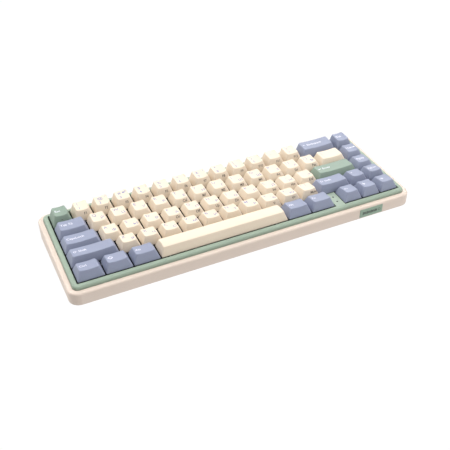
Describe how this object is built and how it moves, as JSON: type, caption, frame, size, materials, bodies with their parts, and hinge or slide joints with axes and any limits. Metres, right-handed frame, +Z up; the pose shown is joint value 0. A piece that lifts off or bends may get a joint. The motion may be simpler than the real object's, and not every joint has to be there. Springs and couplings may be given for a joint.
{
  "type": "mechanical keyboard",
  "caption": "Compact mechanical keyboard with sculpted dished keycaps, a trim frame around the keys and a sloping tray case on rubber feet.",
  "frame": {"origin": "middle of the bounding box's underside, on the surface that the rubber feet stand on", "axes": "X to the user's right along the rows of keys, Y from the front edge to the back, Z up"},
  "size_m": [0.3238, 0.1155, 0.0331],
  "materials": {
    "case_beige": "fine matt grain",
    "trim_green": "fine matt grain",
    "badge_green": "matt",
    "lamp_dark": "clear dark, unlit",
    "plate_dark": "black powder coat",
    "board": "solder mask",
    "switch_plastic": "moulded",
    "spring_steel": "drawn wire",
    "wire_steel": "drawn wire",
    "inlet_steel": "stamped",
    "screw_steel": "zinc plated",
    "rubber": "matt",
    "keycap_cream": "fine matt grain",
    "keycap_blue": "fine matt grain",
    "keycap_green": "fine matt grain"
  },
  "bodies": {
    "housing": {"badge_plate": "badge_green", "bottom_case": "case_beige", "cable_inlet": "inlet_steel", "case_screws": "screw_steel", "circuit_board": "board", "indicator_lamps": "lamp_dark", "rubber_feet": "rubber", "stabiliser_housings": "switch_plastic", "switch_housings": "switch_plastic", "switch_plate": "plate_dark", "switch_springs": "spring_steel", "top_frame": "trim_green"},
    "key_backslash": {"key_backslash": "keycap_cream"},
    "key_backspace": {"key_backspace": "keycap_blue"},
    "key_caps_lock": {"key_caps_lock": "keycap_blue"},
    "key_column_1": {"key_column_1": "keycap_blue"},
    "key_column_2": {"key_column_2": "keycap_blue"},
    "key_column_3": {"key_column_3": "keycap_blue"},
    "key_column_4": {"key_column_4": "keycap_blue"},
    "key_down": {"key_down": "keycap_blue"},
    "key_enter": {"key_enter": "keycap_green"},
    "key_escape": {"key_escape": "keycap_green"},
    "key_function": {"key_function": "keycap_blue"},
    "key_left": {"key_left": "keycap_blue"},
    "key_left_alt": {"key_left_alt": "keycap_blue"},
    "key_left_control": {"key_left_control": "keycap_blue"},
    "key_left_shift": {"key_left_shift": "keycap_blue"},
    "key_right": {"key_right": "keycap_blue"},
    "key_right_alt": {"key_right_alt": "keycap_blue"},
    "key_right_shift": {"key_right_shift": "keycap_blue"},
    "key_space": {"key_space": "keycap_cream"},
    "key_system": {"key_system": "keycap_blue"},
    "key_tab": {"key_tab": "keycap_blue"},
    "key_up": {"key_up": "keycap_blue"},
    "keys_1_2": {"keys_1_2": "keycap_cream"},
    "keys_3_4": {"keys_3_4": "keycap_cream"},
    "keys_5_6": {"keys_5_6": "keycap_cream"},
    "keys_7_8": {"keys_7_8": "keycap_cream"},
    "keys_9_0": {"keys_9_0": "keycap_cream"},
    "keys_a_s": {"keys_a_s": "keycap_cream"},
    "keys_b_n": {"keys_b_n": "keycap_cream"},
    "keys_brackets": {"keys_brackets": "keycap_cream"},
    "keys_c_v": {"keys_c_v": "keycap_cream"},
    "keys_d_f": {"keys_d_f": "keycap_cream"},
    "keys_e_r": {"keys_e_r": "keycap_cream"},
    "keys_g_h": {"keys_g_h": "keycap_cream"},
    "keys_j_k": {"keys_j_k": "keycap_cream"},
    "keys_l_semicolon_quote": {"keys_l_semicolon_quote": "keycap_cream"},
    "keys_m_comma": {"keys_m_comma": "keycap_cream"},
    "keys_minus_equals": {"keys_minus_equals": "keycap_cream"},
    "keys_o_p": {"keys_o_p": "keycap_cream"},
    "keys_period_slash": {"keys_period_slash": "keycap_cream"},
    "keys_q_w": {"keys_q_w": "keycap_cream"},
    "keys_t_y": {"keys_t_y": "keycap_cream"},
    "keys_u_i": {"keys_u_i": "keycap_cream"},
    "keys_z_x": {"keys_z_x": "keycap_cream"},
    "wire_backspace": {"wire_backspace": "wire_steel"},
    "wire_enter": {"wire_enter": "wire_steel"},
    "wire_left_shift": {"wire_left_shift": "wire_steel"},
    "wire_space": {"wire_space": "wire_steel"}
  },
  "joints": [
    {"name": "key_backslash_press", "type": "slide", "parent": "housing", "child": "key_backslash", "axis": [0, -0.0698, 0.9976], "range_m": [-0.004, 0], "stiffness_N_per_m": 60, "springref_m": 0.006, "deforming": ["switch_springs"]},
    {"name": "key_backspace_press", "type": "slide", "parent": "housing", "child": "key_backspace", "axis": [0, -0.0698, 0.9976], "range_m": [-0.004, 0], "stiffness_N_per_m": 60, "springref_m": 0.006, "deforming": ["switch_springs"]},
    {"name": "key_caps_lock_press", "type": "slide", "parent": "housing", "child": "key_caps_lock", "axis": [0, -0.0698, 0.9976], "range_m": [-0.004, 0], "stiffness_N_per_m": 60, "springref_m": 0.006, "deforming": ["switch_springs"]},
    {"name": "key_column_1_press", "type": "slide", "parent": "housing", "child": "key_column_1", "axis": [0, -0.0698, 0.9976], "range_m": [-0.004, 0], "stiffness_N_per_m": 60, "springref_m": 0.006, "deforming": ["switch_springs"]},
    {"name": "key_column_2_press", "type": "slide", "parent": "housing", "child": "key_column_2", "axis": [0, -0.0698, 0.9976], "range_m": [-0.004, 0], "stiffness_N_per_m": 60, "springref_m": 0.006, "deforming": ["switch_springs"]},
    {"name": "key_column_3_press", "type": "slide", "parent": "housing", "child": "key_column_3", "axis": [0, -0.0698, 0.9976], "range_m": [-0.004, 0], "stiffness_N_per_m": 60, "springref_m": 0.006, "deforming": ["switch_springs"]},
    {"name": "key_column_4_press", "type": "slide", "parent": "housing", "child": "key_column_4", "axis": [0, -0.0698, 0.9976], "range_m": [-0.004, 0], "stiffness_N_per_m": 60, "springref_m": 0.006, "deforming": ["switch_springs"]},
    {"name": "key_down_press", "type": "slide", "parent": "housing", "child": "key_down", "axis": [0, -0.0698, 0.9976], "range_m": [-0.004, 0], "stiffness_N_per_m": 60, "springref_m": 0.006, "deforming": ["switch_springs"]},
    {"name": "key_enter_press", "type": "slide", "parent": "housing", "child": "key_enter", "axis": [0, -0.0698, 0.9976], "range_m": [-0.004, 0], "stiffness_N_per_m": 60, "springref_m": 0.006, "deforming": ["switch_springs"]},
    {"name": "key_escape_press", "type": "slide", "parent": "housing", "child": "key_escape", "axis": [0, -0.0698, 0.9976], "range_m": [-0.004, 0], "stiffness_N_per_m": 60, "springref_m": 0.006, "deforming": ["switch_springs"]},
    {"name": "key_function_press", "type": "slide", "parent": "housing", "child": "key_function", "axis": [0, -0.0698, 0.9976], "range_m": [-0.004, 0], "stiffness_N_per_m": 60, "springref_m": 0.006, "deforming": ["switch_springs"]},
    {"name": "key_left_press", "type": "slide", "parent": "housing", "child": "key_left", "axis": [0, -0.0698, 0.9976], "range_m": [-0.004, 0], "stiffness_N_per_m": 60, "springref_m": 0.006, "deforming": ["switch_springs"]},
    {"name": "key_left_alt_press", "type": "slide", "parent": "housing", "child": "key_left_alt", "axis": [0, -0.0698, 0.9976], "range_m": [-0.004, 0], "stiffness_N_per_m": 60, "springref_m": 0.006, "deforming": ["switch_springs"]},
    {"name": "key_left_control_press", "type": "slide", "parent": "housing", "child": "key_left_control", "axis": [0, -0.0698, 0.9976], "range_m": [-0.004, 0], "stiffness_N_per_m": 60, "springref_m": 0.006, "deforming": ["switch_springs"]},
    {"name": "key_left_shift_press", "type": "slide", "parent": "housing", "child": "key_left_shift", "axis": [0, -0.0698, 0.9976], "range_m": [-0.004, 0], "stiffness_N_per_m": 60, "springref_m": 0.006, "deforming": ["switch_springs"]},
    {"name": "key_right_press", "type": "slide", "parent": "housing", "child": "key_right", "axis": [0, -0.0698, 0.9976], "range_m": [-0.004, 0], "stiffness_N_per_m": 60, "springref_m": 0.006, "deforming": ["switch_springs"]},
    {"name": "key_right_alt_press", "type": "slide", "parent": "housing", "child": "key_right_alt", "axis": [0, -0.0698, 0.9976], "range_m": [-0.004, 0], "stiffness_N_per_m": 60, "springref_m": 0.006, "deforming": ["switch_springs"]},
    {"name": "key_right_shift_press", "type": "slide", "parent": "housing", "child": "key_right_shift", "axis": [0, -0.0698, 0.9976], "range_m": [-0.004, 0], "stiffness_N_per_m": 60, "springref_m": 0.006, "deforming": ["switch_springs"]},
    {"name": "key_space_press", "type": "slide", "parent": "housing", "child": "key_space", "axis": [0, -0.0698, 0.9976], "range_m": [-0.004, 0], "stiffness_N_per_m": 60, "springref_m": 0.006, "deforming": ["switch_springs"]},
    {"name": "key_system_press", "type": "slide", "parent": "housing", "child": "key_system", "axis": [0, -0.0698, 0.9976], "range_m": [-0.004, 0], "stiffness_N_per_m": 60, "springref_m": 0.006, "deforming": ["switch_springs"]},
    {"name": "key_tab_press", "type": "slide", "parent": "housing", "child": "key_tab", "axis": [0, -0.0698, 0.9976], "range_m": [-0.004, 0], "stiffness_N_per_m": 60, "springref_m": 0.006, "deforming": ["switch_springs"]},
    {"name": "key_up_press", "type": "slide", "parent": "housing", "child": "key_up", "axis": [0, -0.0698, 0.9976], "range_m": [-0.004, 0], "stiffness_N_per_m": 60, "springref_m": 0.006, "deforming": ["switch_springs"]},
    {"name": "keys_1_2_press", "type": "slide", "parent": "housing", "child": "keys_1_2", "axis": [0, -0.0698, 0.9976], "range_m": [-0.004, 0], "stiffness_N_per_m": 120, "springref_m": 0.006, "deforming": ["switch_springs"]},
    {"name": "keys_3_4_press", "type": "slide", "parent": "housing", "child": "keys_3_4", "axis": [0, -0.0698, 0.9976], "range_m": [-0.004, 0], "stiffness_N_per_m": 120, "springref_m": 0.006, "deforming": ["switch_springs"]},
    {"name": "keys_5_6_press", "type": "slide", "parent": "housing", "child": "keys_5_6", "axis": [0, -0.0698, 0.9976], "range_m": [-0.004, 0], "stiffness_N_per_m": 120, "springref_m": 0.006, "deforming": ["switch_springs"]},
    {"name": "keys_7_8_press", "type": "slide", "parent": "housing", "child": "keys_7_8", "axis": [0, -0.0698, 0.9976], "range_m": [-0.004, 0], "stiffness_N_per_m": 120, "springref_m": 0.006, "deforming": ["switch_springs"]},
    {"name": "keys_9_0_press", "type": "slide", "parent": "housing", "child": "keys_9_0", "axis": [0, -0.0698, 0.9976], "range_m": [-0.004, 0], "stiffness_N_per_m": 120, "springref_m": 0.006, "deforming": ["switch_springs"]},
    {"name": "keys_a_s_press", "type": "slide", "parent": "housing", "child": "keys_a_s", "axis": [0, -0.0698, 0.9976], "range_m": [-0.004, 0], "stiffness_N_per_m": 120, "springref_m": 0.006, "deforming": ["switch_springs"]},
    {"name": "keys_b_n_press", "type": "slide", "parent": "housing", "child": "keys_b_n", "axis": [0, -0.0698, 0.9976], "range_m": [-0.004, 0], "stiffness_N_per_m": 120, "springref_m": 0.006, "deforming": ["switch_springs"]},
    {"name": "keys_brackets_press", "type": "slide", "parent": "housing", "child": "keys_brackets", "axis": [0, -0.0698, 0.9976], "range_m": [-0.004, 0], "stiffness_N_per_m": 120, "springref_m": 0.006, "deforming": ["switch_springs"]},
    {"name": "keys_c_v_press", "type": "slide", "parent": "housing", "child": "keys_c_v", "axis": [0, -0.0698, 0.9976], "range_m": [-0.004, 0], "stiffness_N_per_m": 120, "springref_m": 0.006, "deforming": ["switch_springs"]},
    {"name": "keys_d_f_press", "type": "slide", "parent": "housing", "child": "keys_d_f", "axis": [0, -0.0698, 0.9976], "range_m": [-0.004, 0], "stiffness_N_per_m": 120, "springref_m": 0.006, "deforming": ["switch_springs"]},
    {"name": "keys_e_r_press", "type": "slide", "parent": "housing", "child": "keys_e_r", "axis": [0, -0.0698, 0.9976], "range_m": [-0.004, 0], "stiffness_N_per_m": 120, "springref_m": 0.006, "deforming": ["switch_springs"]},
    {"name": "keys_g_h_press", "type": "slide", "parent": "housing", "child": "keys_g_h", "axis": [0, -0.0698, 0.9976], "range_m": [-0.004, 0], "stiffness_N_per_m": 120, "springref_m": 0.006, "deforming": ["switch_springs"]},
    {"name": "keys_j_k_press", "type": "slide", "parent": "housing", "child": "keys_j_k", "axis": [0, -0.0698, 0.9976], "range_m": [-0.004, 0], "stiffness_N_per_m": 120, "springref_m": 0.006, "deforming": ["switch_springs"]},
    {"name": "keys_l_semicolon_quote_press", "type": "slide", "parent": "housing", "child": "keys_l_semicolon_quote", "axis": [0, -0.0698, 0.9976], "range_m": [-0.004, 0], "stiffness_N_per_m": 180, "springref_m": 0.006, "deforming": ["switch_springs"]},
    {"name": "keys_m_comma_press", "type": "slide", "parent": "housing", "child": "keys_m_comma", "axis": [0, -0.0698, 0.9976], "range_m": [-0.004, 0], "stiffness_N_per_m": 120, "springref_m": 0.006, "deforming": ["switch_springs"]},
    {"name": "keys_minus_equals_press", "type": "slide", "parent": "housing", "child": "keys_minus_equals", "axis": [0, -0.0698, 0.9976], "range_m": [-0.004, 0], "stiffness_N_per_m": 120, "springref_m": 0.006, "deforming": ["switch_springs"]},
    {"name": "keys_o_p_press", "type": "slide", "parent": "housing", "child": "keys_o_p", "axis": [0, -0.0698, 0.9976], "range_m": [-0.004, 0], "stiffness_N_per_m": 120, "springref_m": 0.006, "deforming": ["switch_springs"]},
    {"name": "keys_period_slash_press", "type": "slide", "parent": "housing", "child": "keys_period_slash", "axis": [0, -0.0698, 0.9976], "range_m": [-0.004, 0], "stiffness_N_per_m": 120, "springref_m": 0.006, "deforming": ["switch_springs"]},
    {"name": "keys_q_w_press", "type": "slide", "parent": "housing", "child": "keys_q_w", "axis": [0, -0.0698, 0.9976], "range_m": [-0.004, 0], "stiffness_N_per_m": 120, "springref_m": 0.006, "deforming": ["switch_springs"]},
    {"name": "keys_t_y_press", "type": "slide", "parent": "housing", "child": "keys_t_y", "axis": [0, -0.0698, 0.9976], "range_m": [-0.004, 0], "stiffness_N_per_m": 120, "springref_m": 0.006, "deforming": ["switch_springs"]},
    {"name": "keys_u_i_press", "type": "slide", "parent": "housing", "child": "keys_u_i", "axis": [0, -0.0698, 0.9976], "range_m": [-0.004, 0], "stiffness_N_per_m": 120, "springref_m": 0.006, "deforming": ["switch_springs"]},
    {"name": "keys_z_x_press", "type": "slide", "parent": "housing", "child": "keys_z_x", "axis": [0, -0.0698, 0.9976], "range_m": [-0.004, 0], "stiffness_N_per_m": 120, "springref_m": 0.006, "deforming": ["switch_springs"]},
    {"name": "wire_backspace_swing", "type": "hinge", "parent": "housing", "child": "wire_backspace", "pos_m": [0.1143, 0.02925, 0.01713], "axis": [1, 0, 0], "range_deg": [-26.5, 0]},
    {"name": "wire_enter_swing", "type": "hinge", "parent": "housing", "child": "wire_enter", "pos_m": [0.11192, -0.00876, 0.01447], "axis": [1, 0, 0], "range_deg": [-26.5, 0]},
    {"name": "wire_left_shift_swing", "type": "hinge", "parent": "housing", "child": "wire_left_shift", "pos_m": [-0.13097, -0.02776, 0.01315], "axis": [1, 0, 0], "range_deg": [-26.5, 0]},
    {"name": "wire_space_swing", "type": "hinge", "parent": "housing", "child": "wire_space", "pos_m": [-0.02143, -0.04677, 0.01182], "axis": [1, 0, 0], "range_deg": [-26.5, 0]}
  ],
  "couplings": [
    {"joint": "wire_backspace_swing", "follows": "key_backspace_press", "rad_per_m": 113.33},
    {"joint": "wire_enter_swing", "follows": "key_enter_press", "rad_per_m": 113.33},
    {"joint": "wire_left_shift_swing", "follows": "key_left_shift_press", "rad_per_m": 113.33},
    {"joint": "wire_space_swing", "follows": "key_space_press", "rad_per_m": 113.33}
  ]
}
